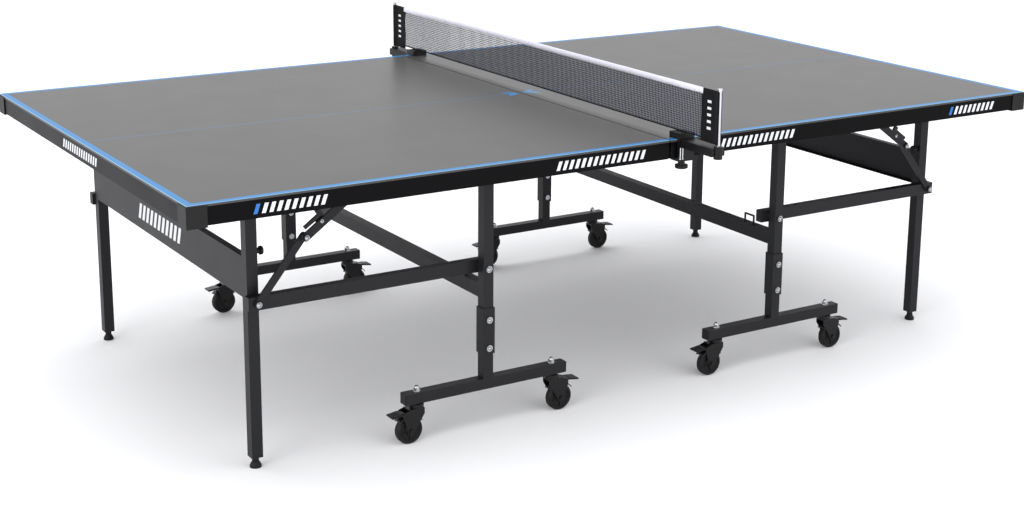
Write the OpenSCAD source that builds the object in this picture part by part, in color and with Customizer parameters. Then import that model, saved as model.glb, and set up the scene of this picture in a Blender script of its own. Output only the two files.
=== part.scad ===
// Folding two-half table tennis table with a trolley under each half.
// +X runs along the table, -Y is the near long side, +Z is up.
// The origin lies on the floor below the middle of the net line.

/* [Top] */
// Length of the whole playing surface
table_l = 2740; // [2600:10:2900]
// Width of the playing surface
table_w = 1525; // [1400:5:1700]
// Height of the playing surface above the floor
table_h = 760; // [720:5:900]
// Gap between the two halves at the net
halves_gap = 4.4; // [4.4:0.2:12]
// Thickness of the playing board
board_t = 6; // [4:1:22]
// Depth of the apron frame below the board
apron_h = 46; // [40:1:60]
// Width of the apron frame's flanges
apron_w = 22; // [18:1:30]
// Sheet thickness of the apron frame
apron_wall = 1.5; // [1.2:0.1:2.5]
// Depth of the cross members below the board
member_h = 30; // [24:1:32]
// Width of the cross members
member_w = 25; // [20:1:35]
// Length of a corner cap along each edge
cap_l = 50; // [30:1:80]
// How far a corner cap stands proud of the apron
cap_proud = 2; // [1:0.5:4]

/* [Trolley] */
// Distance from the net line to the uprights
upright_x = 498; // [440:1:540]
// Distance from the centre line to the uprights
upright_y = 630; // [560:1:660]
// Side of the square tubes
tube = 30; // [25:1:35]
// Wall of the square tubes
tube_wall = 2; // [1.5:0.1:3]
// Length of a foot bar
foot_bar_l = 497; // [420:1:560]
// Height of the foot bars' undersides
foot_bar_z = 110; // [104:1:130]
// Height of the top of the fixed lower post
stub_top = 290; // [260:1:310]
// Bottom of the height-setting sleeve
sleeve_z = 209; // [190:1:220]
// Length of the height-setting sleeve
sleeve_l = 128; // [100:1:135]
// Wall of the height-setting sleeve
sleeve_wall = 2.5; // [2:0.1:3]
// Underside of the cross bar that joins the uprights
cross_bar_z = 363; // [345:1:366]
// Depth of the cross bar
cross_bar_h = 38; // [30:1:40]
// Width of the pull handle on the cross bar
handle_w = 46; // [40:1:80]
// Height of the pull handle above the cross bar
handle_h = 28; // [24:1:32]
// Thickness of the pull handle's wire
handle_wire = 6; // [5:0.5:8]
// Radius of the frame bolts
bolt_r = 5; // [4:0.5:6]

/* [Casters] */
// Diameter of a wheel
wheel_d = 75; // [60:1:80]
// Width of a wheel
wheel_w = 24; // [18:1:28]
// Distance from a caster's stem to the middle of its foot bar
caster_spread = 210; // [170:1:225]
// How far a wheel trails behind its stem
trail = 25; // [20:1:30]
// Radius of a wheel's axle
axle_r = 4; // [3:0.5:5]
// Length of a brake pedal
pedal_l = 40; // [30:1:45]

/* [Legs and side bars] */
// Distance from the net line to the outer legs
leg_x = 1138; // [1080:1:1200]
// Distance from the centre line to the outer legs
leg_y = 565; // [520:1:575]
// Height of the lower pivots on uprights and legs
lower_pivot_z = 445; // [430:1:480]
// Depth of a side bar
bar_h = 35; // [28:1:40]
// Width of a side bar
bar_w = 25; // [20:1:25]
// How far a side bar runs past the upright's pivot
bar_inner_tail = 33; // [16:1:33]
// How far a side bar runs past the leg's pivot
bar_outer_tail = 20; // [16:1:40]
// Underside of the end panel
panel_z = 450; // [440:1:480]
// Height of the end panel
panel_h = 106; // [80:1:140]
// Depth of the end panel's folded edges
panel_fold = 20; // [14:1:24]
// Sheet thickness of the end panel
panel_t = 1.5; // [1:0.1:2.5]
// Height of the rubber bumpers
bumper_z = 568; // [560:1:640]
// Length of a rubber bumper
bumper_l = 20; // [12:1:24]
// Diameter of a levelling foot
foot_d = 30; // [22:1:31]
// Height of a levelling foot below the leg
foot_h = 26; // [22:1:34]

/* [Folding brace] */
// Distance from the net line to the brace's knuckle
knuckle_x = 1012; // [990:1:1030]
// Height of the brace's knuckle
knuckle_z = 602; // [590:1:615]
// Distance from the net line to the brace's upper pivot
brace_top_x = 861; // [850:1:864]
// Width of a brace link
link_w = 20; // [16:1:24]
// Thickness of a brace link
link_t = 6; // [4:0.5:6]

/* [Net] */
// Height of the net above the playing surface
net_h = 152.5; // [140:0.5:160]
// Distance from the long sides out to the net posts
net_overhang = 145.5; // [135:0.5:160]
// Distance of the net from the gap between the halves
net_x = 48; // [42:1:70]
// Gap between the board and the net's lower edge
net_gap = 18; // [10:1:25]
// Thickness of the net
net_t = 2; // [1.5:0.5:4]
// Diameter of a net post
post_d = 10; // [8:1:14]
// Width of a net clamp along the table
clamp_w = 50; // [36:1:60]
// How far a clamp reaches in over the board
clamp_reach = 37; // [25:1:60]
// Diameter of a clamp's knob
knob_d = 36; // [24:1:44]

/* [Hidden] */
$fn = 48;
run = 0.05;                                  // radial clearance of a pivot
slack = 0.5;                                 // radial clearance of a pivot that is left loose
side_gap = 1;                                // gap between neighbouring links
half_l = table_l / 2;
half_w = table_w / 2;
edge_x = halves_gap / 2;
board_z = table_h - board_t;
apron_z = board_z - apron_h;
member_z = board_z - member_h;
fold_z = member_z - 24;                      // height of the fold pivots and leg hinges
upright_top = fold_z + 12;
inner_face = upright_y - tube / 2;
outer_face = upright_y + tube / 2;
cross_bar_top = cross_bar_z + cross_bar_h;
bar_y0 = leg_y + tube / 2 + side_gap;        // inner face of a side bar
bar_y1 = bar_y0 + bar_w;
link_y0 = bar_y1 + side_gap;                 // inner face of the lower brace link
link_y1 = link_y0 + link_t;
pin_head = 6;
foot_travel = 11;                            // how far a levelling foot screws up into its leg
upper_y0 = link_y1 + pin_head + 2.5;         // inner face of the upper brace link
upper_y1 = upper_y0 + link_t;
brace_top_z = member_z - link_w / 2 - 5;
ear_t = 4;
ear_gap = 1;
ear_r = 14;
stem_r = 5;
brake_dx = 17;                               // from the axle out to the brake pedal's hinge
brake_z = foot_bar_z - 25;
shoe_gap = 0.7;                              // between the brake shoe and the tread
stem_x = [upright_x - caster_spread, upright_x + caster_spread];
net_top = table_h + net_h;
net_bottom = table_h + net_gap;
post_y = half_w + net_overhang;
post_top = net_top + 8;
clamp_z0 = apron_z - 9;
clamp_top = table_h + 17;

halves = ["right", "left"];
sides = ["near", "far"];
places = ["inner", "outer"];
caster_parts = ["fork", "wheel", "brake"];
half_parts = ["board", "top_frame", "corner_caps", "foot_frame", "uprights", "trolley_bolts",
    "side_bars", "leg_frame", "leg_bumpers", "lower_links", "upper_links"];
corner_parts = ["latch", "levelling_foot"];
net_parts = ["net", "net_posts", "near_clamp", "far_clamp", "near_clamp_screw", "far_clamp_screw"];

// Places a right-hand, near-side shape on the named half and side.
module on_half(half) {
    if (half == "right") children();
    else mirror([1, 0, 0]) children();
}

module on_side(side) {
    if (side == "near") children();
    else mirror([0, 1, 0]) children();
}

module both_sides() {
    children();
    mirror([0, 1, 0]) children();
}

// A box given by its lowest corner and its size.
module block(corner, size) {
    translate(corner) cube(size);
}

// A cylinder along Y from y0 to y1, with both given as distances from the centre line.
module cross_rod(x, z, r, y0, y1) {
    translate([x, -y0, z]) rotate([90, 0, 0]) cylinder(r = r, h = y1 - y0);
}

// A vertical square tube centred on x and -y.
module post_tube(x, y, side, wall, z0, z1) {
    difference() {
        block([x - side / 2, -y - side / 2, z0], [side, side, z1 - z0]);
        block([x - side / 2 + wall, -y - side / 2 + wall, z0 - 1],
            [side - 2 * wall, side - 2 * wall, z1 - z0 + 2]);
    }
}

// A flat link between two pivots, with round ends, a bore at one or both of them and its thickness from y0 to y1.
module link(x0, z0, x1, z1, width, y0, y1, bore0, bore1) {
    long = norm([x1 - x0, z1 - z0]);
    side = (width / 2 - 0.3) / long;
    dx = (x1 - x0) * side;
    dz = (z1 - z0) * side;
    translate([0, -y0, 0]) rotate([90, 0, 0]) linear_extrude(y1 - y0) difference() {
        union() {
            translate([x0, z0]) circle(r = width / 2);
            translate([x1, z1]) circle(r = width / 2);
            polygon([[x0 + dz, z0 - dx], [x1 + dz, z1 - dx], [x1 - dz, z1 + dx], [x0 - dz, z0 + dx]]);
        }
        if (bore0 > 0) translate([x0, z0]) circle(r = bore0);
        if (bore1 > 0) translate([x1, z1]) circle(r = bore1);
    }
}

// ---- Top ----

module board() {
    color("#7d8081") block([edge_x, -half_w, board_z], [half_l - edge_x, table_w, board_t]);
}

module pivot_ear(x, z, y0, y1) {
    cross_rod(x, z, ear_r, y0, y1);
    block([x - ear_r, -y1, z], [2 * ear_r, y1 - y0, member_z - z + apron_wall / 2]);
}

module cross_member(x) {
    inset = half_w - apron_w + 5;
    difference() {
        block([x - member_w / 2, -inset, member_z], [member_w, 2 * inset, member_h]);
        block([x - member_w / 2 + apron_wall, -inset - 1, member_z + apron_wall],
            [member_w - 2 * apron_wall, 2 * inset + 2, member_h - 2 * apron_wall]);
    }
}

module top_frame() {
    apron_x0 = edge_x + 1;
    apron_x1 = half_l - 1;
    apron_y = half_w - 1;
    length = apron_x1 - apron_x0;
    color("#1c1c1e") {
        difference() {
            block([apron_x0, -apron_y, apron_z], [length, 2 * apron_y, apron_h]);
            block([apron_x0 + apron_w, -apron_y + apron_w, apron_z - 1],
                [length - 2 * apron_w, 2 * (apron_y - apron_w), apron_h + 2]);
            block([apron_x0 + apron_wall, -apron_y + apron_wall, apron_z + apron_wall],
                [length - 2 * apron_wall, 2 * (apron_y - apron_wall), apron_h - 2 * apron_wall]);
            block([apron_x0 - 1, -apron_y + apron_w, apron_z - 1],
                [apron_w + 2, 2 * (apron_y - apron_w), member_z - apron_z + 1]);
        }
        block([apron_x0, -apron_y + apron_w, member_z], [apron_w, 2 * (apron_y - apron_w), apron_wall]);
        for (x = [upright_x, brace_top_x, leg_x]) cross_member(x);
        both_sides() {
            pivot_ear(upright_x, fold_z, inner_face - ear_gap - ear_t, inner_face - ear_gap);
            pivot_ear(upright_x, fold_z, outer_face + ear_gap, outer_face + ear_gap + ear_t);
            cross_rod(upright_x, fold_z, bolt_r, inner_face - ear_gap - ear_t, outer_face + ear_gap + ear_t + 5);
            cross_rod(upright_x, fold_z, bolt_r + 4, outer_face + ear_gap + ear_t, outer_face + ear_gap + ear_t + 5);
            pivot_ear(leg_x, fold_z, leg_y - tube / 2 - ear_gap - ear_t, leg_y - tube / 2 - ear_gap);
            pivot_ear(leg_x, fold_z, leg_y + tube / 2 + ear_gap, leg_y + tube / 2 + ear_gap + ear_t);
            cross_rod(leg_x, fold_z, bolt_r, leg_y - tube / 2 - ear_gap - ear_t, leg_y + tube / 2 + ear_gap + ear_t);
            pivot_ear(brace_top_x, brace_top_z, upper_y1 + ear_gap, upper_y1 + ear_gap + ear_t);
            cross_rod(brace_top_x, brace_top_z, bolt_r, upper_y0 - 1, upper_y1 + ear_gap + ear_t);
        }
    }
}

module corner_caps() {
    out = cap_proud + cap_proud / 4;
    color("#121213") both_sides() difference() {
        block([half_l - cap_l, -half_w - cap_proud, apron_z - 4], [cap_l + cap_proud, cap_l + cap_proud, apron_h + board_t + 1]);
        block([half_l - cap_l - 1, -half_w, apron_z - 1],
            [cap_l + 1, cap_l + cap_proud + 1, apron_h + board_t + out]);
        block([half_l - cap_l - 1, -half_w + apron_w, apron_z - 5],
            [cap_l + 1 - apron_w, cap_l + cap_proud + 1, apron_h]);
    }
}

// ---- Trolley ----

module foot_frame() {
    bar_x0 = upright_x - foot_bar_l / 2;
    color("#2b2b2e") both_sides() {
        difference() {
            block([bar_x0, -outer_face, foot_bar_z], [foot_bar_l, tube, tube]);
            block([bar_x0 - 1, -outer_face + tube_wall, foot_bar_z + tube_wall],
                [foot_bar_l + 2, tube - 2 * tube_wall, tube - 2 * tube_wall]);
            for (x = stem_x) translate([x, -upright_y, foot_bar_z - 1]) cylinder(r = stem_r + run, h = tube + 2);
        }
        difference() {
            post_tube(upright_x, upright_y, tube, tube_wall, foot_bar_z + tube, stub_top);
            cross_rod(upright_x, sleeve_z + 17, bolt_r + run, inner_face - 1, outer_face + 1);
        }
        difference() {
            post_tube(upright_x, upright_y, tube + 2 * (sleeve_wall + slack), sleeve_wall, sleeve_z, sleeve_z + sleeve_l);
            for (z = [sleeve_z + 17, sleeve_z + sleeve_l - 32])
                cross_rod(upright_x, z, bolt_r + run, inner_face - 6, outer_face + 6);
        }
    }
}

module uprights() {
    handle_y = upright_y - 120;
    color("#303033") {
        both_sides() difference() {
            post_tube(upright_x, upright_y, tube, tube_wall, stub_top + 1, upright_top);
            cross_rod(upright_x, fold_z, bolt_r + run, inner_face - 1, outer_face + 1);
            cross_rod(upright_x, lower_pivot_z, bolt_r + run, inner_face - 1, outer_face + 1);
            cross_rod(upright_x, sleeve_z + sleeve_l - 32, bolt_r + run, inner_face - 1, outer_face + 1);
        }
        difference() {
            block([upright_x - tube / 2, -inner_face, cross_bar_z], [tube, 2 * inner_face, cross_bar_h]);
            block([upright_x - tube / 2 + tube_wall, -inner_face - 1, cross_bar_z + tube_wall],
                [tube - 2 * tube_wall, 2 * inner_face + 2, cross_bar_h - 2 * tube_wall]);
        }
        translate([upright_x, -handle_y, cross_bar_top]) {
            for (y = [-1, 1]) translate([0, y * (handle_w - handle_wire) / 2, -1])
                cylinder(d = handle_wire, h = handle_h - handle_wire / 2 + 1);
            translate([0, 0, handle_h - handle_wire / 2]) rotate([90, 0, 0])
                cylinder(d = handle_wire, h = handle_w - handle_wire, center = true);
            for (y = [-1, 1]) translate([0, y * (handle_w - handle_wire) / 2, handle_h - handle_wire / 2])
                sphere(d = handle_wire);
        }
    }
}

module trolley_bolts() {
    sleeve_out = outer_face + slack + sleeve_wall;
    sleeve_in = inner_face - slack - sleeve_wall;
    color("#c9ccd0") both_sides() {
        for (z = [sleeve_z + 17, sleeve_z + sleeve_l - 32]) {
            cross_rod(upright_x, z, bolt_r, sleeve_in, sleeve_out);
            cross_rod(upright_x, z, bolt_r + 4, sleeve_out, sleeve_out + 5);
            cross_rod(upright_x, z, bolt_r + 4, sleeve_in - 5, sleeve_in);
        }
        cross_rod(upright_x, lower_pivot_z, bolt_r, bar_y0 - 1, outer_face);
        cross_rod(upright_x, lower_pivot_z, bolt_r + 4, outer_face, outer_face + 5);
        cross_rod(upright_x, lower_pivot_z, bolt_r + 4, bar_y0 - 7, bar_y0 - 1);
        cross_rod(upright_x, lower_pivot_z, bolt_r + 6, bar_y1 + 0.5, inner_face);
        for (x = stem_x) translate([x, -upright_y, 0]) {
            translate([0, 0, foot_bar_z - 16]) cylinder(r = stem_r, h = tube + 16);
            translate([0, 0, foot_bar_z - 19]) cylinder(r = stem_r + 3, h = 3);
            translate([0, 0, foot_bar_z + tube]) cylinder(r = 11, h = 2);
            translate([0, 0, foot_bar_z + tube + 2]) cylinder(r = 9, h = 8, $fn = 6);
            translate([0, 0, foot_bar_z + tube + 10]) sphere(r = 7);
        }
    }
}

// ---- Casters, with the stem on the Z axis and the wheel trailing towards +X ----

module caster_fork() {
    cheek = wheel_w / 2 + 2.5;
    head_z = foot_bar_z - 14;
    color("#1a1a1b") {
        difference() {
            union() {
                translate([0, 0, head_z]) cylinder(r = 19, h = 12);
                block([-15, -cheek - 2.5, head_z - 4], [46, 2 * cheek + 5, 5]);
            }
            translate([0, 0, head_z - 5]) cylinder(r = stem_r + run, h = 20);
            translate([0, 0, head_z - 6]) cylinder(r = stem_r + 3.5, h = 5);
        }
        for (y = [-cheek - 2.5, cheek]) translate([0, y + 2.5, 0]) rotate([90, 0, 0]) linear_extrude(2.5) {
            polygon([[-15, head_z - 1], [-15, head_z - 14], [trail - 9, wheel_d / 2 - 6],
                [trail + 9, wheel_d / 2 - 6], [trail + 22, head_z - 18], [trail + 22, head_z - 6], [31, head_z - 1]]);
            translate([trail, wheel_d / 2]) circle(r = 11);
        }
        translate([trail, 0, wheel_d / 2]) rotate([90, 0, 0])
            cylinder(r = axle_r, h = 2 * cheek + 9, center = true);
        translate([trail + brake_dx, 0, brake_z]) rotate([90, 0, 0]) cylinder(r = 2, h = 2 * cheek + 2, center = true);
    }
}

module caster_wheel() {
    rim = wheel_d / 2;
    side = wheel_w / 2;
    color("#161617") translate([trail, 0, rim]) rotate([90, 0, 0]) rotate_extrude()
        polygon([[axle_r + run, -side], [12, -side], [14, -side + 3], [rim - 12, -side + 3], [rim - 9, -side],
            [rim - 4, -side], [rim, -side + 5], [rim, side - 5], [rim - 4, side], [rim - 9, side],
            [rim - 12, side - 3], [14, side - 3], [12, side], [axle_r + run, side]]);
}

module caster_brake() {
    pedal_w = wheel_w + 1;
    shoe_t = 5;
    reach = norm([brake_dx, brake_z - wheel_d / 2]) - wheel_d / 2 - shoe_gap;
    shoe_l = sqrt(reach * reach - shoe_t * shoe_t / 4);
    color("#2a2a2c") difference() {
        union() {
            translate([trail + brake_dx, 0, brake_z]) rotate([90, 0, 0]) cylinder(r = 4.5, h = pedal_w, center = true);
            block([trail + brake_dx - shoe_t / 2, -8, brake_z - shoe_l], [shoe_t, 16, shoe_l]);
            block([trail + brake_dx, -pedal_w / 2, brake_z - 1], [10, pedal_w, 5.5]);
            translate([trail + brake_dx + 7, 0, brake_z + 1]) rotate([0, 8, 0])
                block([0, -pedal_w / 2 - 5, 0], [pedal_l - 8, pedal_w + 10, 3.5]);
        }
        translate([trail + brake_dx, 0, brake_z]) rotate([90, 0, 0])
            cylinder(r = 2 + run, h = pedal_w + 2, center = true);
    }
}

module place_caster(half, side, place) {
    x = place == "inner" ? stem_x[0] : stem_x[1];
    on_half(half) on_side(side) translate([x, -upright_y, 0])
        if (place == "inner") mirror([1, 0, 0]) children(); else children();
}

// ---- Side bars and legs ----

module side_bars() {
    x0 = upright_x - bar_inner_tail;
    x1 = leg_x + bar_outer_tail;
    color("#303034") both_sides() difference() {
        block([x0, -bar_y1, lower_pivot_z - bar_h / 2], [x1 - x0, bar_w, bar_h]);
        block([x0 - 1, -bar_y1 + tube_wall, lower_pivot_z - bar_h / 2 + tube_wall],
            [x1 - x0 + 2, bar_w - 2 * tube_wall, bar_h - 2 * tube_wall]);
        cross_rod(upright_x, lower_pivot_z, bolt_r + run, bar_y0 - 1, bar_y1 + 1);
        cross_rod(leg_x, lower_pivot_z, bolt_r + slack, bar_y0 - 1, bar_y1 + 1);
    }
}

module leg_frame() {
    leg_in = leg_y - tube / 2;
    outside = leg_x + tube / 2;
    color("#38383b") {
        both_sides() {
            difference() {
                post_tube(leg_x, leg_y, tube, tube_wall, foot_h + 2, fold_z + 12);
                cross_rod(leg_x, fold_z, bolt_r + run, leg_in - 1, leg_y + tube / 2 + 1);
            }
            difference() {
                block([leg_x - tube / 2 + tube_wall, -leg_y - tube / 2 + tube_wall, foot_h + foot_travel + 2],
                    [tube - 2 * tube_wall, tube - 2 * tube_wall, 14]);
                translate([leg_x, -leg_y, foot_h]) cylinder(r = bolt_r + run, h = foot_travel + 18);
            }
            cross_rod(leg_x, lower_pivot_z, bolt_r, leg_in, link_y1 + 0.5);
            cross_rod(leg_x, lower_pivot_z, bolt_r + 3, leg_in - 5, leg_in);
            cross_rod(leg_x, lower_pivot_z, bolt_r + 3.5, link_y1 + 0.5, link_y1 + pin_head);
        }
        difference() {
            block([outside - panel_fold, -leg_in, panel_z], [panel_fold, 2 * leg_in, panel_h]);
            block([outside - panel_fold - 1, -leg_in - 1, panel_z + panel_t],
                [panel_fold + 1 - panel_t, 2 * leg_in + 2, panel_h - 2 * panel_t]);
        }
    }
}

module leg_bumpers() {
    x1 = leg_x - tube / 2;
    color("#101011") both_sides() translate([x1, -leg_y, bumper_z]) rotate([0, -90, 0]) {
        cylinder(r = 7, h = bumper_l - 6);
        translate([0, 0, bumper_l - 8]) cylinder(r = 11, h = 6);
        translate([0, 0, bumper_l - 2]) cylinder(r1 = 11, r2 = 9, h = 2);
    }
}

module levelling_foot() {
    color("#101011") translate([leg_x, -leg_y, 0]) {
        cylinder(d = foot_d, h = 6);
        translate([0, 0, 6]) cylinder(d1 = foot_d, d2 = 20, h = 9);
        translate([0, 0, 15]) cylinder(r = 9, h = foot_h - 15);
        translate([0, 0, foot_h]) cylinder(r = bolt_r, h = foot_travel + 14);
    }
}

// ---- Folding brace ----

module lower_links() {
    color("#3a3a3d") both_sides()
        link(leg_x, lower_pivot_z, knuckle_x, knuckle_z, link_w, link_y0, link_y1, bolt_r + run, 0);
}

module upper_links() {
    color("#3a3a3d") both_sides() {
        link(knuckle_x, knuckle_z, brace_top_x, brace_top_z, link_w + 2, upper_y0, upper_y1, 0, bolt_r + run);
        cross_rod(knuckle_x, knuckle_z, 8, link_y1 + side_gap, upper_y0);
        cross_rod(knuckle_x, knuckle_z, bolt_r + 3, upper_y1, upper_y1 + 5);
        latch_place() cross_rod(0, 0, 3, upper_y0 - 7, upper_y0);
    }
}

// Puts a shape, given with its pivot at x = 0, z = 0, at the latch's pivot on the upper link.
module latch_place() {
    angle = atan2(brace_top_z - knuckle_z, brace_top_x - knuckle_x);
    translate([knuckle_x, 0, knuckle_z]) rotate([0, -angle, 0]) translate([56, 0, -4]) children();
}

module latch() {
    color("#141415") latch_place() difference() {
        translate([0, -upper_y0 + 6.5, 0]) rotate([90, 0, 0]) linear_extrude(6) {
            circle(r = 7);
            polygon([[-44, -10], [-44, -19], [2, -19], [2, -27], [16, -27], [16, -12], [6, 0], [-6, 0], [-14, -9]]);
        }
        cross_rod(0, 0, 3 + run, upper_y0 - 8, upper_y0 + 1);
    }
}

// ---- Net ----

module net() {
    color("#3c3f52") {
        block([net_x - net_t / 2, -post_y + post_d, net_bottom], [net_t, 2 * (post_y - post_d), net_top - net_bottom]);
        both_sides() difference() {
            block([net_x - post_d / 2 - 2, -post_y - post_d / 2 - 2, net_bottom], [post_d + 4, 2 * post_d, net_top - net_bottom]);
            translate([net_x, -post_y, net_bottom - 1]) cylinder(r = post_d / 2 + run, h = net_h + 2);
        }
    }
}

module net_posts() {
    color("#b9bcc1") both_sides() translate([net_x, -post_y, 0]) {
        translate([0, 0, apron_z + 35]) cylinder(d = post_d, h = post_top - apron_z - 38);
        translate([0, 0, post_top - 3]) cylinder(d = post_d + 4, h = 3);
    }
}

module clamp() {
    x0 = net_x - clamp_w / 2;
    face = half_w + 1.5;
    back = 10;
    color("#121213") difference() {
        union() {
            block([x0, -face - back, table_h + 0.4], [clamp_w, clamp_reach + back, clamp_top - table_h - 0.4]);
            block([x0, -face - back, clamp_z0], [clamp_w, back, clamp_top - clamp_z0]);
            block([x0, -face - back, clamp_z0], [clamp_w, 30 + back, 7]);
            block([x0 + 3, -post_y, board_z - 15], [clamp_w - 6, post_y - face - back + 1, 22]);
            translate([net_x, -post_y, board_z - 22]) cylinder(r = 12, h = 34);
        }
        translate([net_x, -post_y, apron_z + 34.5]) cylinder(r = post_d / 2 + run, h = net_h);
        translate([net_x, -half_w + 11, clamp_z0 - 1]) cylinder(r = 4 + run, h = 9);
    }
}

module clamp_screw() {
    color("#1a1a1b") translate([net_x, -half_w + 11, clamp_z0]) {
        translate([0, 0, -12]) cylinder(r = 4, h = 20.5);
        translate([0, 0, -14]) cylinder(r1 = 11, r2 = 8, h = 12);
        translate([0, 0, -22]) cylinder(d = knob_d, h = 8);
        translate([0, 0, -24]) cylinder(d1 = knob_d - 6, d2 = knob_d, h = 2);
    }
}

for (h = halves) on_half(h) {
    board();
    top_frame();
    corner_caps();
    foot_frame();
    uprights();
    trolley_bolts();
    side_bars();
    leg_frame();
    leg_bumpers();
    lower_links();
    upper_links();
}
for (h = halves, s = sides) on_half(h) on_side(s) {
    latch();
    levelling_foot();
}
for (h = halves, s = sides, q = places) place_caster(h, s, q) {
    caster_fork();
    caster_wheel();
    caster_brake();
}
net();
net_posts();
clamp();  // near_clamp
on_side("far") clamp();  // far_clamp
clamp_screw();  // near_clamp_screw
on_side("far") clamp_screw();  // far_clamp_screw
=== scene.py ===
import bpy, bmesh, math
from mathutils import Matrix, Vector


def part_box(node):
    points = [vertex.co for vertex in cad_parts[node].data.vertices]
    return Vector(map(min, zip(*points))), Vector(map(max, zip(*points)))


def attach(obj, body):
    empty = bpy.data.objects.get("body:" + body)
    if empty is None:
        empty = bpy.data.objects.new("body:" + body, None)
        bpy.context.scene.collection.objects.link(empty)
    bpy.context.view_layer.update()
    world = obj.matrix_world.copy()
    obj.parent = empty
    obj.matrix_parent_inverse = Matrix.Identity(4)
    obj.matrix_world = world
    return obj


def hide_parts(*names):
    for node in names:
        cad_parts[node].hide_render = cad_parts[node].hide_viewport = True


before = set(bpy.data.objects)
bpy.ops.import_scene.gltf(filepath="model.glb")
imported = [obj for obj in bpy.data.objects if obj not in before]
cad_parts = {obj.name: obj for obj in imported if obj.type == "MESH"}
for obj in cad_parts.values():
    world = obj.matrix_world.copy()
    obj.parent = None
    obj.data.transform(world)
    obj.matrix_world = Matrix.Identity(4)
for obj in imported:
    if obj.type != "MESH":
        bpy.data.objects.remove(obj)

scene = bpy.context.scene
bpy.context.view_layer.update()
halves = {"right": 1, "left": -1}
sides = {"near": -1, "far": 1}
print("frame loaded")


def finishMesh(bm, name, body, material, smooth=35, bevel=0.0, segments=2):
    # every piece keeps its place in its mesh, so the object itself stays at the origin
    bmesh.ops.remove_doubles(bm, verts=bm.verts, dist=1e-6)
    bmesh.ops.recalc_face_normals(bm, faces=bm.faces)
    mesh = bpy.data.meshes.new(name)
    bm.to_mesh(mesh)
    bm.free()
    piece = bpy.data.objects.new(name, mesh)
    scene.collection.objects.link(piece)
    mesh.materials.append(material)
    mesh.shade_smooth()
    mesh.set_sharp_from_angle(angle=math.radians(smooth))
    if bevel > 0:
        mod = piece.modifiers.new("Soft edges", "BEVEL")
        mod.width, mod.segments, mod.limit_method = bevel, segments, "ANGLE"
        mod.harden_normals = True
    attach(piece, body)
    return piece


def addBox(bm, centre, size, turn=None):
    made = bmesh.ops.create_cube(bm, size=1)["verts"]
    bmesh.ops.scale(bm, vec=size, verts=made)
    if turn:
        bmesh.ops.rotate(bm, cent=(0, 0, 0), matrix=turn, verts=made)
    bmesh.ops.translate(bm, vec=centre, verts=made)
    return made


def addRod(bm, start, end, radius, facets=24):
    start, end = Vector(start), Vector(end)
    along = end - start
    made = bmesh.ops.create_cone(bm, cap_ends=True, segments=facets, radius1=radius, radius2=radius,
        depth=along.length)["verts"]
    bmesh.ops.rotate(bm, cent=(0, 0, 0), matrix=along.to_track_quat("Z", "Y").to_matrix(), verts=made)
    bmesh.ops.translate(bm, vec=(start + end) / 2, verts=made)
    return made


def addTurned(bm, outline, base, direction, steps=32):
    # outline is (radius, height) pairs spun about an axis that starts at base
    before = set(bm.verts)
    verts = [bm.verts.new((r, 0, h)) for r, h in outline]
    edges = [bm.edges.new(pair) for pair in zip(verts, verts[1:])]
    bmesh.ops.spin(bm, geom=verts + edges, cent=(0, 0, 0), axis=(0, 0, 1), angle=2 * math.pi,
        steps=steps, use_merge=True, use_duplicate=False)
    made = [v for v in bm.verts if v not in before]
    bmesh.ops.rotate(bm, cent=(0, 0, 0), matrix=Vector(direction).to_track_quat("Z", "Y").to_matrix(), verts=made)
    bmesh.ops.translate(bm, vec=base, verts=made)
    return made


def pullStrip(bm, strip, step, times):
    # a row of edges drawn out into a surface, one step after another
    for i in range(times):
        grown = bmesh.ops.extrude_edge_only(bm, edges=strip)["geom"]
        bmesh.ops.translate(bm, vec=step, verts=[g for g in grown if isinstance(g, bmesh.types.BMVert)])
        strip = [g for g in grown if isinstance(g, bmesh.types.BMEdge)]


def dress(name, material):
    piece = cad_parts[name]
    for i in range(max(1, len(piece.material_slots))):
        if len(piece.material_slots) == 0:
            piece.data.materials.append(material)
        else:
            piece.material_slots[i].material = material


def newGroup(name, inputs, outputs):
    tree = bpy.data.node_groups.new(name, "ShaderNodeTree")
    for label, kind, value in inputs:
        socket = tree.interface.new_socket(name=label, in_out="INPUT", socket_type=kind)
        if value is not None:
            socket.default_value = value
    for label, kind in outputs:
        tree.interface.new_socket(name=label, in_out="OUTPUT", socket_type=kind)
    return tree, tree.nodes.new("NodeGroupInput"), tree.nodes.new("NodeGroupOutput")


def node(tree, kind, **settings):
    made = tree.nodes.new(kind)
    for key, value in settings.items():
        if key in made.inputs:
            made.inputs[key].default_value = value
        else:
            setattr(made, key, value)
    return made


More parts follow.
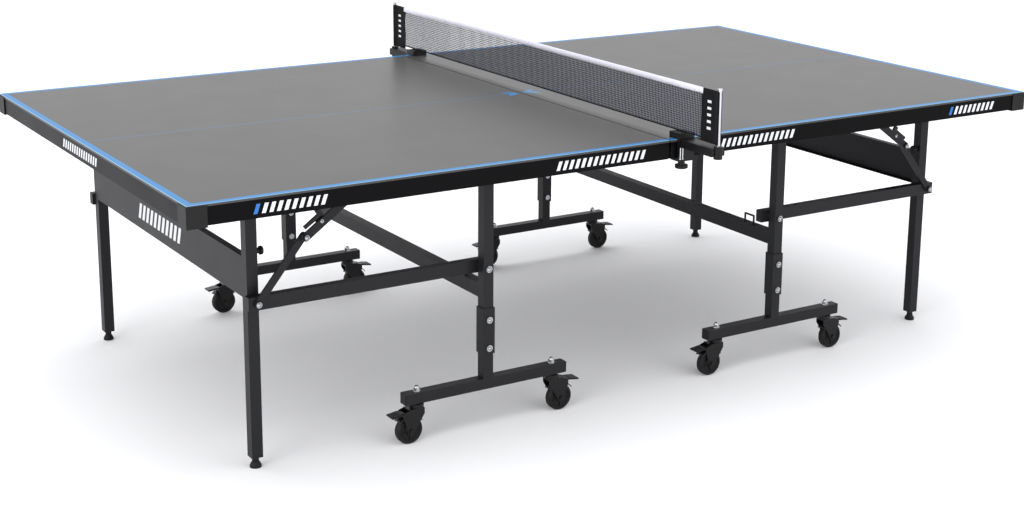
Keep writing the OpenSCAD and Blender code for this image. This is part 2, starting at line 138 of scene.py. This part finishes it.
def makeGrain():
    tree, put, out = newGroup("Surface grain",
        [("Color", "NodeSocketColor", (0.1, 0.1, 0.1, 1)), ("Grain size", "NodeSocketFloat", 900.0),
         ("Mottle", "NodeSocketFloat", 0.06), ("Roughness", "NodeSocketFloat", 0.4),
         ("Roughness spread", "NodeSocketFloat", 0.08), ("Bump", "NodeSocketFloat", 0.1)],
        [("Color", "NodeSocketColor"), ("Roughness", "NodeSocketFloat"), ("Normal", "NodeSocketVector")])
    link = tree.links.new
    place = node(tree, "ShaderNodeTexCoord")
    fine = node(tree, "ShaderNodeTexNoise", Detail=3.0)
    broad = node(tree, "ShaderNodeTexNoise", Scale=7.0, Detail=5.0)
    link(place.outputs["Object"], fine.inputs["Vector"])
    link(place.outputs["Object"], broad.inputs["Vector"])
    link(put.outputs["Grain size"], fine.inputs["Scale"])
    shade = node(tree, "ShaderNodeMath", operation="SUBTRACT")
    shade.inputs[1].default_value = 0.5
    link(broad.outputs["Fac"], shade.inputs[0])
    swing = node(tree, "ShaderNodeMath", operation="MULTIPLY_ADD")
    swing.inputs[2].default_value = 1.0
    link(shade.outputs[0], swing.inputs[0])
    link(put.outputs["Mottle"], swing.inputs[1])
    tint = node(tree, "ShaderNodeVectorMath", operation="SCALE")
    link(put.outputs["Color"], tint.inputs[0])
    link(swing.outputs[0], tint.inputs["Scale"])
    link(tint.outputs[0], out.inputs["Color"])
    rough = node(tree, "ShaderNodeMath", operation="MULTIPLY_ADD")
    link(shade.outputs[0], rough.inputs[0])
    link(put.outputs["Roughness spread"], rough.inputs[1])
    link(put.outputs["Roughness"], rough.inputs[2])
    link(rough.outputs[0], out.inputs["Roughness"])
    bump = node(tree, "ShaderNodeBump", Distance=0.0004)
    link(put.outputs["Bump"], bump.inputs["Strength"])
    link(fine.outputs["Fac"], bump.inputs["Height"])
    link(bump.outputs[0], out.inputs["Normal"])
    return tree


def makeBand():
    # 1 inside low..high of a value, 0 outside, with an edge about soft wide
    tree, put, out = newGroup("Band mask",
        [("Value", "NodeSocketFloat", 0.0), ("Low", "NodeSocketFloat", 0.0), ("High", "NodeSocketFloat", 1.0),
         ("Soft", "NodeSocketFloat", 0.0004)],
        [("Mask", "NodeSocketFloat")])
    link = tree.links.new
    parts = []
    for order in (("Value", "Low"), ("High", "Value")):
        gap = node(tree, "ShaderNodeMath", operation="SUBTRACT")
        link(put.outputs[order[0]], gap.inputs[0])
        link(put.outputs[order[1]], gap.inputs[1])
        ramp = node(tree, "ShaderNodeMath", operation="DIVIDE", use_clamp=True)
        link(gap.outputs[0], ramp.inputs[0])
        link(put.outputs["Soft"], ramp.inputs[1])
        parts.append(ramp)
    both = node(tree, "ShaderNodeMath", operation="MULTIPLY")
    link(parts[0].outputs[0], both.inputs[0])
    link(parts[1].outputs[0], both.inputs[1])
    link(both.outputs[0], out.inputs["Mask"])
    return tree


grainGroup, bandGroup = makeGrain(), makeBand()


def startMaterial(name, color, grain=900.0, mottle=0.06, rough=0.4, spread=0.08, bump=0.1, **shader):
    material = bpy.data.materials.new(name)
    material.use_nodes = True
    tree = material.node_tree
    principled = tree.nodes["Principled BSDF"]
    for key, value in shader.items():
        principled.inputs[key.replace("_", " ")].default_value = value
    effect = tree.nodes.new("ShaderNodeGroup")
    effect.node_tree = grainGroup
    effect.inputs["Color"].default_value = (*color, 1)
    for key, value in (("Grain size", grain), ("Mottle", mottle), ("Roughness", rough),
            ("Roughness spread", spread), ("Bump", bump)):
        effect.inputs[key].default_value = value
    for key in ("Roughness", "Normal"):
        tree.links.new(effect.outputs[key], principled.inputs[key])
    tree.links.new(effect.outputs["Color"], principled.inputs["Base Color"])
    return material, tree, principled, effect


def bandOf(tree, source, low, high, soft=0.0004):
    band = tree.nodes.new("ShaderNodeGroup")
    band.node_tree = bandGroup
    tree.links.new(source, band.inputs["Value"])
    for key, value in (("Low", low), ("High", high), ("Soft", soft)):
        band.inputs[key].default_value = value
    return band.outputs["Mask"]


def calc(tree, operation, a, b=None, c=None):
    made = tree.nodes.new("ShaderNodeMath")
    made.operation = operation
    for i, value in enumerate((a, b, c)):
        if value is None:
            continue
        if isinstance(value, (int, float)):
            made.inputs[i].default_value = value
        else:
            tree.links.new(value, made.inputs[i])
    return made.outputs[0]


def paint(tree, under, color, mask):
    mix = tree.nodes.new("ShaderNodeMix")
    mix.data_type = "RGBA"
    tree.links.new(mask, mix.inputs["Factor"])
    tree.links.new(under, mix.inputs["A"])
    mix.inputs["B"].default_value = (*color, 1)
    return mix.outputs["Result"]


def objectAxes(tree):
    place = tree.nodes.new("ShaderNodeTexCoord")
    split = tree.nodes.new("ShaderNodeSeparateXYZ")
    tree.links.new(place.outputs["Object"], split.inputs[0])
    return split.outputs["X"], split.outputs["Y"], split.outputs["Z"]


# the pale rim blue is a painted highlight for the board's rounded rim, not a printed colour
finishes = {
    "boardGrey": (0.066, 0.065, 0.0625), "borderBlue": (0.008, 0.17, 0.42), "lineBlue": (0.020, 0.14, 0.31),
    "rimHighlightBlue": (0.22, 0.42, 0.58), "frameBlack": (0.0020, 0.0020, 0.0024), "charcoal": (0.0105, 0.0105, 0.0125),
    "plastic": (0.0035, 0.0035, 0.004), "rubber": (0.0032, 0.0032, 0.0034), "zinc": (0.40, 0.41, 0.42),
    "netNavy": (0.007, 0.011, 0.034), "tapeWhite": (0.72, 0.71, 0.80), "markWhite": (0.62, 0.64, 0.66),
}


def makeBoard():
    material, tree, principled, effect = startMaterial("Grey playing surface", finishes["boardGrey"],
        grain=2600.0, mottle=0.05, rough=0.34, spread=0.06, bump=0.05)
    x, y, z = objectAxes(tree)
    low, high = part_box("right_board")
    absX, absY = calc(tree, "ABSOLUTE", x), calc(tree, "ABSOLUTE", y)
    color = effect.outputs["Color"]
    border = 0.020
    atEnd = bandOf(tree, absX, high[0] - border, 9.0)
    atSide = bandOf(tree, absY, high[1] - border, 9.0)
    color = paint(tree, color, finishes["borderBlue"], calc(tree, "MAXIMUM", atEnd, atSide))
    color = paint(tree, color, finishes["lineBlue"], bandOf(tree, absY, -1.0, 0.0018))
    # chevron on the centre line beside the net
    lean = calc(tree, "SUBTRACT", absX, absY)
    chevron = calc(tree, "MULTIPLY", bandOf(tree, lean, 0.008, 0.036), bandOf(tree, absY, -1.0, 0.026))
    color = paint(tree, color, finishes["borderBlue"], chevron)
    # painted highlight along the rounded rim where it would catch the light, and the plain sides of the sheet
    rim = calc(tree, "MAXIMUM", bandOf(tree, absX, high[0] - 0.0022, 9.0), bandOf(tree, absY, high[1] - 0.0022, 9.0))
    # paints the rim band lighter as a painted highlight
    color = paint(tree, color, finishes["rimHighlightBlue"], rim)
    side = bandOf(tree, z, -1.0, high[2] - 0.0004, 0.0002)
    color = paint(tree, color, (0.05, 0.05, 0.052), side)
    tree.links.new(color, principled.inputs["Base Color"])
    principled.inputs["Specular IOR Level"].default_value = 0.15
    return material


def makePainted(name, color, rough, bump=0.22, grain=1500.0, mottle=0.10, shine=0.3):
    material, tree, principled, effect = startMaterial(name, color, grain=grain, mottle=mottle, rough=rough,
        spread=0.12, bump=bump)
    principled.inputs["Specular IOR Level"].default_value = shine
    return material


boardFinish = makeBoard()
frameFinish = makePainted("Black powder coat", finishes["frameBlack"], 0.34, bump=0.12, shine=0.05)
legFinish = makePainted("Charcoal powder coat", finishes["charcoal"], 0.42, shine=0.15)
plasticFinish = makePainted("Black moulded plastic", finishes["plastic"], 0.46, bump=0.3, grain=700.0, shine=0.2)
glossFinish = makePainted("Smooth black plastic", finishes["plastic"], 0.25, bump=0.08, grain=500.0, shine=0.25)
rubberFinish = makePainted("Wheel rubber", finishes["rubber"], 0.55, bump=0.3, grain=1100.0, mottle=0.2,
    shine=0.2)
zincFinish = startMaterial("Zinc plate", finishes["zinc"], grain=1800.0, mottle=0.12, rough=0.26, spread=0.16,
    bump=0.12, Metallic=1.0)[0]
steelFinish = startMaterial("Polished rod", (0.52, 0.53, 0.55), grain=400.0, mottle=0.05, rough=0.16, spread=0.10,
    bump=0.04, Metallic=1.0)[0]
markFinish = makePainted("Printed mark", finishes["markWhite"], 0.4, bump=0.05)
blueMarkFinish = makePainted("Printed blue mark", (0.015, 0.13, 0.42), 0.4, bump=0.05)
pressedFinish = startMaterial("Dark pressed steel", (0.09, 0.09, 0.095), grain=1500.0, mottle=0.15, rough=0.3,
    spread=0.12, bump=0.15, Metallic=1.0)[0]


def makeCloth(name, color, threads, rough=0.85, fuzz=0.02):
    material, tree, principled, effect = startMaterial(name, color, grain=3000.0, mottle=0.10, rough=rough,
        spread=0.05, bump=0.0, Sheen_Weight=fuzz)
    principled.inputs["Specular IOR Level"].default_value = 0.15
    x, y, z = objectAxes(tree)
    warp = calc(tree, "SINE", calc(tree, "MULTIPLY", y, threads))
    weft = calc(tree, "SINE", calc(tree, "MULTIPLY", z, threads))
    bump = tree.nodes.new("ShaderNodeBump")
    bump.inputs["Strength"].default_value = 0.5
    bump.inputs["Distance"].default_value = 0.0003
    tree.links.new(calc(tree, "MULTIPLY", warp, weft), bump.inputs["Height"])
    tree.links.new(bump.outputs[0], principled.inputs["Normal"])
    return material


tapeFinish = makeCloth("White net tape", finishes["tapeWhite"], 5200.0, fuzz=0.2)
sleeveFinish = makeCloth("Black net sleeve", (0.0025, 0.0025, 0.003), 6200.0)
netFinish = makeCloth("Navy net cord", finishes["netNavy"], 7000.0, rough=0.7)
print("materials made")

for half in halves:
    dress(half + "_board", boardFinish)
    dress(half + "_top_frame", frameFinish)
    dress(half + "_corner_caps", plasticFinish)
    dress(half + "_trolley_bolts", zincFinish)
    dress(half + "_leg_bumpers", rubberFinish)
    for name in ("foot_frame", "uprights", "side_bars", "leg_frame", "lower_links", "upper_links"):
        dress(half + "_" + name, legFinish)
    for side in sides:
        dress(f"{half}_{side}_latch", glossFinish)
        dress(f"{half}_{side}_levelling_foot", plasticFinish)
        for spot in ("inner", "outer"):
            name = f"{half}_{side}_{spot}_caster"
            dress(name + "_fork", glossFinish)
            dress(name + "_wheel", rubberFinish)
            dress(name + "_brake", glossFinish)
for side in sides:
    dress(side + "_clamp", plasticFinish)
    dress(side + "_clamp_screw", plasticFinish)
dress("net", netFinish)
dress("net_posts", steelFinish)


net = {"cellAlong": 0.0070, "cellUp": 0.0060, "thread": 0.0023, "tape": 0.015, "sleeve": 0.075, "skirt": 0.009,
    "postInset": 0.007}


def buildNet():
    netLow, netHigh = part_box("net")
    x = (netLow[0] + netHigh[0]) / 2
    bottom, top = netLow[2], netHigh[2]
    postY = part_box("net_posts")[1][1] - net["postInset"]
    inner = postY - net["sleeve"]
    # knotted netting
    bm = bmesh.new()
    columns, rows = round(2 * inner / net["cellAlong"]), round((top - bottom - net["tape"]) / net["cellUp"])
    bmesh.ops.create_grid(bm, x_segments=columns, y_segments=rows, size=0.5)
    bmesh.ops.rotate(bm, cent=(0, 0, 0), matrix=Matrix.Rotation(math.pi / 2, 3, "X"), verts=bm.verts)
    bmesh.ops.rotate(bm, cent=(0, 0, 0), matrix=Matrix.Rotation(math.pi / 2, 3, "Z"), verts=bm.verts)
    bmesh.ops.scale(bm, vec=(1, 2 * inner + 0.004, top - bottom - net["tape"] + 0.002), verts=bm.verts)
    bmesh.ops.translate(bm, vec=(x, 0, (top - net["tape"] + bottom) / 2), verts=bm.verts)
    for v in bm.verts:  # a slight belly between the posts
        v.co.x += 0.0012 * math.sin(v.co.y * 9.0) * math.sin((v.co.z - bottom) * 24.0)
    netting = finishMesh(bm, "netting", "net_set", netFinish)
    wires = netting.modifiers.new("Cords", "WIREFRAME")
    wires.thickness, wires.use_even_offset, wires.use_replace = net["thread"], False, True
    # folded tape along the top
    bm = bmesh.new()
    half = 0.0019
    profile = [(-half, -net["tape"]), (-half, -0.006), (-half, -0.0015), (-half * 0.6, -0.0004), (0, 0),
        (half * 0.6, -0.0004), (half, -0.0015), (half, -0.006), (half, -net["tape"])]
    verts = [bm.verts.new((x + px, -inner - 0.006, top + pz)) for px, pz in profile]
    strip = [bm.edges.new(pair) for pair in zip(verts, verts[1:])]
    lengths = 110
    pullStrip(bm, strip, (0, 2 * (inner + 0.006) / lengths, 0), lengths)
    for v in bm.verts:  # puckers along the stitching
        v.co.x += 0.0004 * math.sin(v.co.y * 61.0) + 0.0003 * math.sin(v.co.y * 143.0 + v.co.z * 90.0)
    tape = finishMesh(bm, "net_tape", "net_set", tapeFinish, smooth=60)
    wall = tape.modifiers.new("Cloth", "SOLIDIFY")
    wall.thickness, wall.offset = 0.0006, 0
    # bottom cord
    bm = bmesh.new()
    addRod(bm, (x, -inner - 0.01, bottom + 0.001), (x, inner + 0.01, bottom + 0.001), 0.0018, 12)
    cord = finishMesh(bm, "net_bottom_cord", "net_set", sleeveFinish)
    # sleeves that slip over the posts
    for side, sy in sides.items():
        bm = bmesh.new()
        # one side of the sleeve's outline, from the post inwards: half thickness, place along the net
        flank = [(0.0041, 0.0041), (0.0052, 0.0027), (0.0059, 0.0008), (0.0059, -0.0012), (0.0052, -0.0040),
            (0.0032, -0.0080), (0.0018, -0.0120), (0.0015, -0.030), (0.0013, -0.050), (0.0011, -net["sleeve"])]
        outline = [(-px, py) for px, py in flank] + list(reversed(flank))
        verts = [bm.verts.new((x + px, sy * (postY + py), bottom - net["skirt"])) for px, py in outline]
        strip = [bm.edges.new(pair) for pair in zip(verts, verts[1:])]
        levels = 14
        pullStrip(bm, strip, (0, 0, (top - bottom + net["skirt"]) / levels), levels)
        for v in bm.verts:
            away = max(0.0, min(1.0, (postY - abs(v.co.y) - 0.012) / 0.03))
            v.co.x += 0.0005 * away * math.sin(v.co.z * 70.0 + sy)
        sleeve = finishMesh(bm, f"{side}_net_sleeve", "net_set", sleeveFinish, smooth=60)
        wall = sleeve.modifiers.new("Cloth", "SOLIDIFY")
        wall.thickness, wall.offset = 0.0008, 0
        # plain slanted marks down the sleeve
        bm = bmesh.new()
        for i in range(5):
            for face in (-1, 1):
                addBox(bm, (x + face * 0.0024, sy * (postY - 0.040), bottom + 0.030 + 0.018 * i),
                    (0.0004, 0.016, 0.007))
        finishMesh(bm, f"{side}_sleeve_marks", "net_set", markFinish)
    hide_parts("net")
    return netting


buildNet()
print("net built")


# where the tubes stand on the right far quarter of the table
tube = {"postX": 0.498, "postY": 0.63, "legX": 1.138, "legY": 0.565, "barY": 0.5935, "barZ": 0.445, "footZ": 0.125,
    "tubeTop": 0.713}
bolt = {"head": 0.0054, "washer": 0.0068, "height": 0.0034}


def addBolt(bm, where, direction, size=1.0):
    r, h = bolt["head"] * size, bolt["height"] * size
    washer = bolt["washer"] * size
    addTurned(bm, [(0, 0.0012), (washer, 0.0012), (washer, 0), (0, 0)], where, direction)
    addTurned(bm, [(0, h * 0.7), (r * 0.34, h * 0.7), (r * 0.38, h * 1.42), (r * 0.7, h * 1.25), (r * 0.93, h * 0.85),
        (r, h * 0.4), (r, 0.001), (0, 0.001)], where, direction)


def buildBolts():
    for half, sx in halves.items():
        on = lambda x, y, z, sy: (sx * x, sy * y, z)
        sets = {
            "trolley": [(tube["postX"], 0.650, tube["barZ"], 1.15), (tube["postX"], 0.653, 0.305, 1.0),
                (tube["postX"], 0.653, 0.226, 1.0)],
            "top": [(tube["postX"], 0.655, 0.700, 0.95), (tube["legX"], 0.585, 0.700, 0.95),
                (0.861, 0.6325, 0.709, 0.9)],
            "legs": [(tube["legX"], 0.619, tube["barZ"], 1.1)],
            "upper_brace": [(1.012, 0.6325, 0.602, 0.95), (0.9686, 0.6275, 0.6376, 0.7)],
        }
        for part, places in sets.items():
            bm = bmesh.new()
            for x, y, z, size in places:
                for sy in (-1, 1):
                    addBolt(bm, on(x, y, z, sy), (0, sy, 0), size)
            finishMesh(bm, f"{half}_{part}_bolt_heads", f"{half}_{part}", zincFinish, smooth=50)


def buildPlugs():
    for half, sx in halves.items():
        footLow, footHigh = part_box(half + "_foot_frame")
        x0, x1 = (footLow[0], footHigh[0])
        bm = bmesh.new()
        for x, way in ((x0, -1), (x1, 1)):
            for sy in (-1, 1):
                addBox(bm, (x + way * 0.0012, sy * tube["postY"], tube["footZ"]), (0.0024, 0.0298, 0.0298))
                addBox(bm, (x - way * 0.008, sy * tube["postY"], tube["footZ"]), (0.016, 0.0256, 0.0256))
        for sy in (-1, 1):
            addBox(bm, (sx * tube["postX"], sy * tube["postY"], tube["tubeTop"]), (0.0298, 0.0298, 0.002))
        finishMesh(bm, half + "_tube_plugs", half + "_trolley", plasticFinish, bevel=0.0007)
        barLow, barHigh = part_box(half + "_side_bars")
        bm = bmesh.new()
        for x, way in ((barLow[0], -1), (barHigh[0], 1)):
            for sy in (-1, 1):
                addBox(bm, (x + way * 0.0011, sy * tube["barY"], tube["barZ"]), (0.0022, 0.0248, 0.0348))
                addBox(bm, (x - way * 0.007, sy * tube["barY"], tube["barZ"]), (0.014, 0.0206, 0.0306))
        finishMesh(bm, half + "_bar_plugs", half + "_bars", plasticFinish, bevel=0.0007)
        bm = bmesh.new()
        for sy in (-1, 1):
            addBox(bm, (sx * tube["legX"], sy * tube["legY"], tube["tubeTop"]), (0.0298, 0.0298, 0.002))
        finishMesh(bm, half + "_leg_plugs", half + "_legs", plasticFinish, bevel=0.0007)


clampRod = {"out": 0.7748, "apart": 0.008, "radius": 0.0017, "fromEdge": 0.0025, "low": 0.706, "high": 0.7385}


def buildClampRods():
    for side, sy in sides.items():
        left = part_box(side + "_clamp")[0][0] + clampRod["fromEdge"]
        bm = bmesh.new()
        for i in range(2):
            x = left + i * clampRod["apart"]
            foot = (x, sy * clampRod["out"], clampRod["low"])
            addRod(bm, foot, (x, foot[1], clampRod["high"]), clampRod["radius"], 16)
            addRod(bm, foot, (x, foot[1], clampRod["low"] + 0.002), clampRod["radius"] * 1.7, 16)
        finishMesh(bm, side + "_clamp_rods", "right_top", steelFinish)


buildBolts()
buildPlugs()
buildClampRods()
print("fasteners and plugs built")


caster = {"stem": (0.288, 0.708), "trail": 0.025, "wheel": 0.0375, "barY": 0.63, "halfHood": 0.0168}


def buildCasters():
    for half, sx in halves.items():
        for side, sy in sides.items():
            for spot, stem, way in (("inner", caster["stem"][0], -1), ("outer", caster["stem"][1], 1)):
                name = f"{half}_{side}_{spot}_caster"
                out = sx * way
                y, axleZ = sy * caster["barY"], caster["wheel"]
                axleX = sx * stem + out * caster["trail"]
                # moulded hub with five spokes on each face of the wheel
                bm = bmesh.new()
                for face in (-1, 1):
                    addTurned(bm, [(0.0055, 0.0), (0.0105, 0.0), (0.0115, -0.0012), (0.0120, -0.004),
                        (0.0055, -0.004)], (axleX, y + face * 0.0132, axleZ), (0, face, 0), 28)
                    for i in range(5):
                        a = math.radians(72 * i + 18)
                        spoke = addBox(bm, (0.0185, 0, 0), (0.013, 0.0026, 0.0034))
                        bmesh.ops.rotate(bm, cent=(0, 0, 0), matrix=Matrix.Rotation(a, 3, "Y"), verts=spoke)
                        bmesh.ops.translate(bm, vec=(axleX, y + face * 0.0103, axleZ), verts=spoke)
                finishMesh(bm, name + "_hub", name + "_wheel_part", glossFinish, bevel=0.0005)
                # hood over the wheel, with a rolled edge
                bm = bmesh.new()
                rim = caster["wheel"] + 0.0045
                arc = []
                for i in range(15):
                    a = math.radians(38 + 104 * i / 14)
                    arc.append((out * rim * math.cos(a), rim * math.sin(a)))
                verts = [bm.verts.new((axleX + px, y - caster["halfHood"], axleZ + pz)) for px, pz in arc]
                strip = [bm.edges.new(pair) for pair in zip(verts, verts[1:])]
                pullStrip(bm, strip, (0, 0.0056, 0), 6)
                for v in bm.verts:
                    across = (v.co.y - y) / caster["halfHood"]
                    v.co.z += 0.0022 * (1 - across * across)
                hood = finishMesh(bm, name + "_hood", name + "_swivel_part", glossFinish, smooth=60)
                wall = hood.modifiers.new("Wall", "SOLIDIFY")
                wall.thickness, wall.offset = 0.0022, 0
                # axle nuts
                bm = bmesh.new()
                for face in (-1, 1):
                    addRod(bm, (axleX, y + face * 0.017, axleZ), (axleX, y + face * 0.0215, axleZ), 0.0065, 6)
                    addRod(bm, (axleX, y + face * 0.0168, axleZ), (axleX, y + face * 0.0181, axleZ), 0.0085, 24)
                finishMesh(bm, name + "_axle_nuts", name + "_swivel_part", glossFinish, bevel=0.0004)
                # pressed metal tread on the brake pedal
                bm = bmesh.new()
                addBox(bm, (0.0175, 0, 0.0042), (0.026, 0.030, 0.0012))
                for i in range(4):
                    addBox(bm, (0.009 + 0.0055 * i, 0, 0.0052), (0.0018, 0.026, 0.0012))
                bmesh.ops.rotate(bm, cent=(0, 0, 0), matrix=Matrix.Rotation(math.radians(8), 3, "Y"), verts=bm.verts)
                bmesh.ops.scale(bm, vec=(out, 1, 1), verts=bm.verts)
                bmesh.ops.translate(bm, vec=(axleX + out * 0.024, y, 0.086), verts=bm.verts)
                finishMesh(bm, name + "_pedal_tread", name + "_brake_part", pressedFinish, bevel=0.0004)


buildCasters()
print("casters built")


# rows of slanted bars: where a row begins, how many bars, how far apart, how tall and how wide they are
marks = {"lean": 0.35, "apron": (0.019, 0.024, 0.010), "panel": (0.030, 0.046, 0.017), "proud": 0.0004,
    "rightRows": ((0.165, 15), (1.06, 10)), "leftRows": ((-0.355, 15), (-1.195, 10)), "endRow": (0.142, 15),
    "panelRow": (0.175, 11), "sideFace": 0.7616, "endFace": 1.3691, "apronZ": 0.731, "panelFace": 1.1531,
    "panelZ": 0.503}


def addMarks(bm, start, along, out, count, row):
    step, height, width = row
    along, up, out = Vector(along), Vector((0, 0, 1)), Vector(out)
    for i in range(count):
        made = bmesh.ops.create_cube(bm, size=1)["verts"]
        for v in made:
            a, u, o = v.co.x * width, v.co.z * height, v.co.y * marks["proud"]
            v.co = Vector(start) + along * (a + u * marks["lean"] + i * step) + up * u + out * o


def buildMarks():
    for half, sx in halves.items():
        for side, sy in sides.items():
            bm = bmesh.new()
            rows = marks["rightRows"] if sx > 0 else marks["leftRows"]
            for x, count in rows:
                first = 1 if abs(x) > 1 else 0
                addMarks(bm, (x + first * marks["apron"][0], sy * marks["sideFace"], marks["apronZ"]), (1, 0, 0),
                    (0, sy, 0), count - first, marks["apron"])
            finishMesh(bm, f"{half}_{side}_apron_marks", half + "_top", markFinish)
            bm = bmesh.new()
            addMarks(bm, (rows[1][0] - 0.002, sy * marks["sideFace"], marks["apronZ"]), (1, 0, 0), (0, sy, 0), 1,
                marks["apron"])
            finishMesh(bm, f"{half}_{side}_blue_mark", half + "_top", blueMarkFinish)
        bm = bmesh.new()
        addMarks(bm, (sx * marks["endFace"], marks["endRow"][0], marks["apronZ"]), (0, -1, 0), (sx, 0, 0),
            marks["endRow"][1], marks["apron"])
        finishMesh(bm, half + "_end_marks", half + "_top", markFinish)
        bm = bmesh.new()
        addMarks(bm, (sx * marks["panelFace"], marks["panelRow"][0], marks["panelZ"]), (0, -1, 0), (sx, 0, 0),
            marks["panelRow"][1], marks["panel"])
        finishMesh(bm, half + "_panel_marks", half + "_legs", markFinish)


buildMarks()
print("marks built")


stage = {"floor": (0.93, 0.93, 0.935), "size": 60.0}


def buildStage():
    bm = bmesh.new()
    bmesh.ops.create_grid(bm, x_segments=1, y_segments=1, size=stage["size"])
    mesh = bpy.data.meshes.new("floor")
    bm.to_mesh(mesh)
    bm.free()
    floor = bpy.data.objects.new("floor", mesh)
    scene.collection.objects.link(floor)
    material = startMaterial("Pale floor", stage["floor"], grain=30.0, mottle=0.01, rough=0.8, spread=0.02,
        bump=0.0)[0]
    mesh.materials.append(material)


def addLight(name, place, aim, size, power, color=(1, 1, 1)):
    data = bpy.data.lights.new(name, "AREA")
    data.shape, data.size, data.size_y = "RECTANGLE", size[0], size[1]
    data.energy, data.color = power, color
    lamp = bpy.data.objects.new(name, data)
    scene.collection.objects.link(lamp)
    lamp.location = place
    lamp.rotation_mode = "QUATERNION"
    lamp.rotation_quaternion = (Vector(aim) - Vector(place)).to_track_quat("-Z", "Y")
    return lamp


def buildLights():
    addLight("overhead", (0.0, 0.5, 4.2), (0, 0, 0), (7.0, 5.5), 70)
    addLight("left soft", (-5.5, -2.5, 1.5), (0, 0, 0.1), (3.5, 2.4), 130)
    addLight("front fill", (1.5, -6.5, 1.3), (0, 0, 0.0), (5.0, 2.2), 110)
    world = bpy.data.worlds.new("pale room")
    scene.world = world
    world.use_nodes = True
    world.node_tree.nodes["Background"].inputs["Color"].default_value = (0.97, 0.975, 1.0, 1)
    world.node_tree.nodes["Background"].inputs["Strength"].default_value = 1.25


def buildCamera():
    data = bpy.data.cameras.new("camera")
    camera = bpy.data.objects.new("camera", data)
    scene.collection.objects.link(camera)
    scene.camera = camera
    data.sensor_width = 36.0
    data.lens = 1702.61 / 1024 * 36.0
    data.shift_x = (512 - 532.25) / 1024
    data.shift_y = (165 - 254.5) / 1024
    across, up, back = (0.8451, -0.53454, 0.00916), (0.11767, 0.20271, 0.97214), (-0.5215, -0.82048, 0.23421)
    turn = Matrix((across, up, back)).transposed()
    camera.rotation_mode = "QUATERNION"
    camera.rotation_quaternion = turn.to_quaternion()
    camera.location = (-2.7104, -4.3354, 1.7646)
    data.clip_start, data.clip_end = 0.05, 200


buildStage()
buildLights()
buildCamera()
scene.view_settings.view_transform = "Standard"
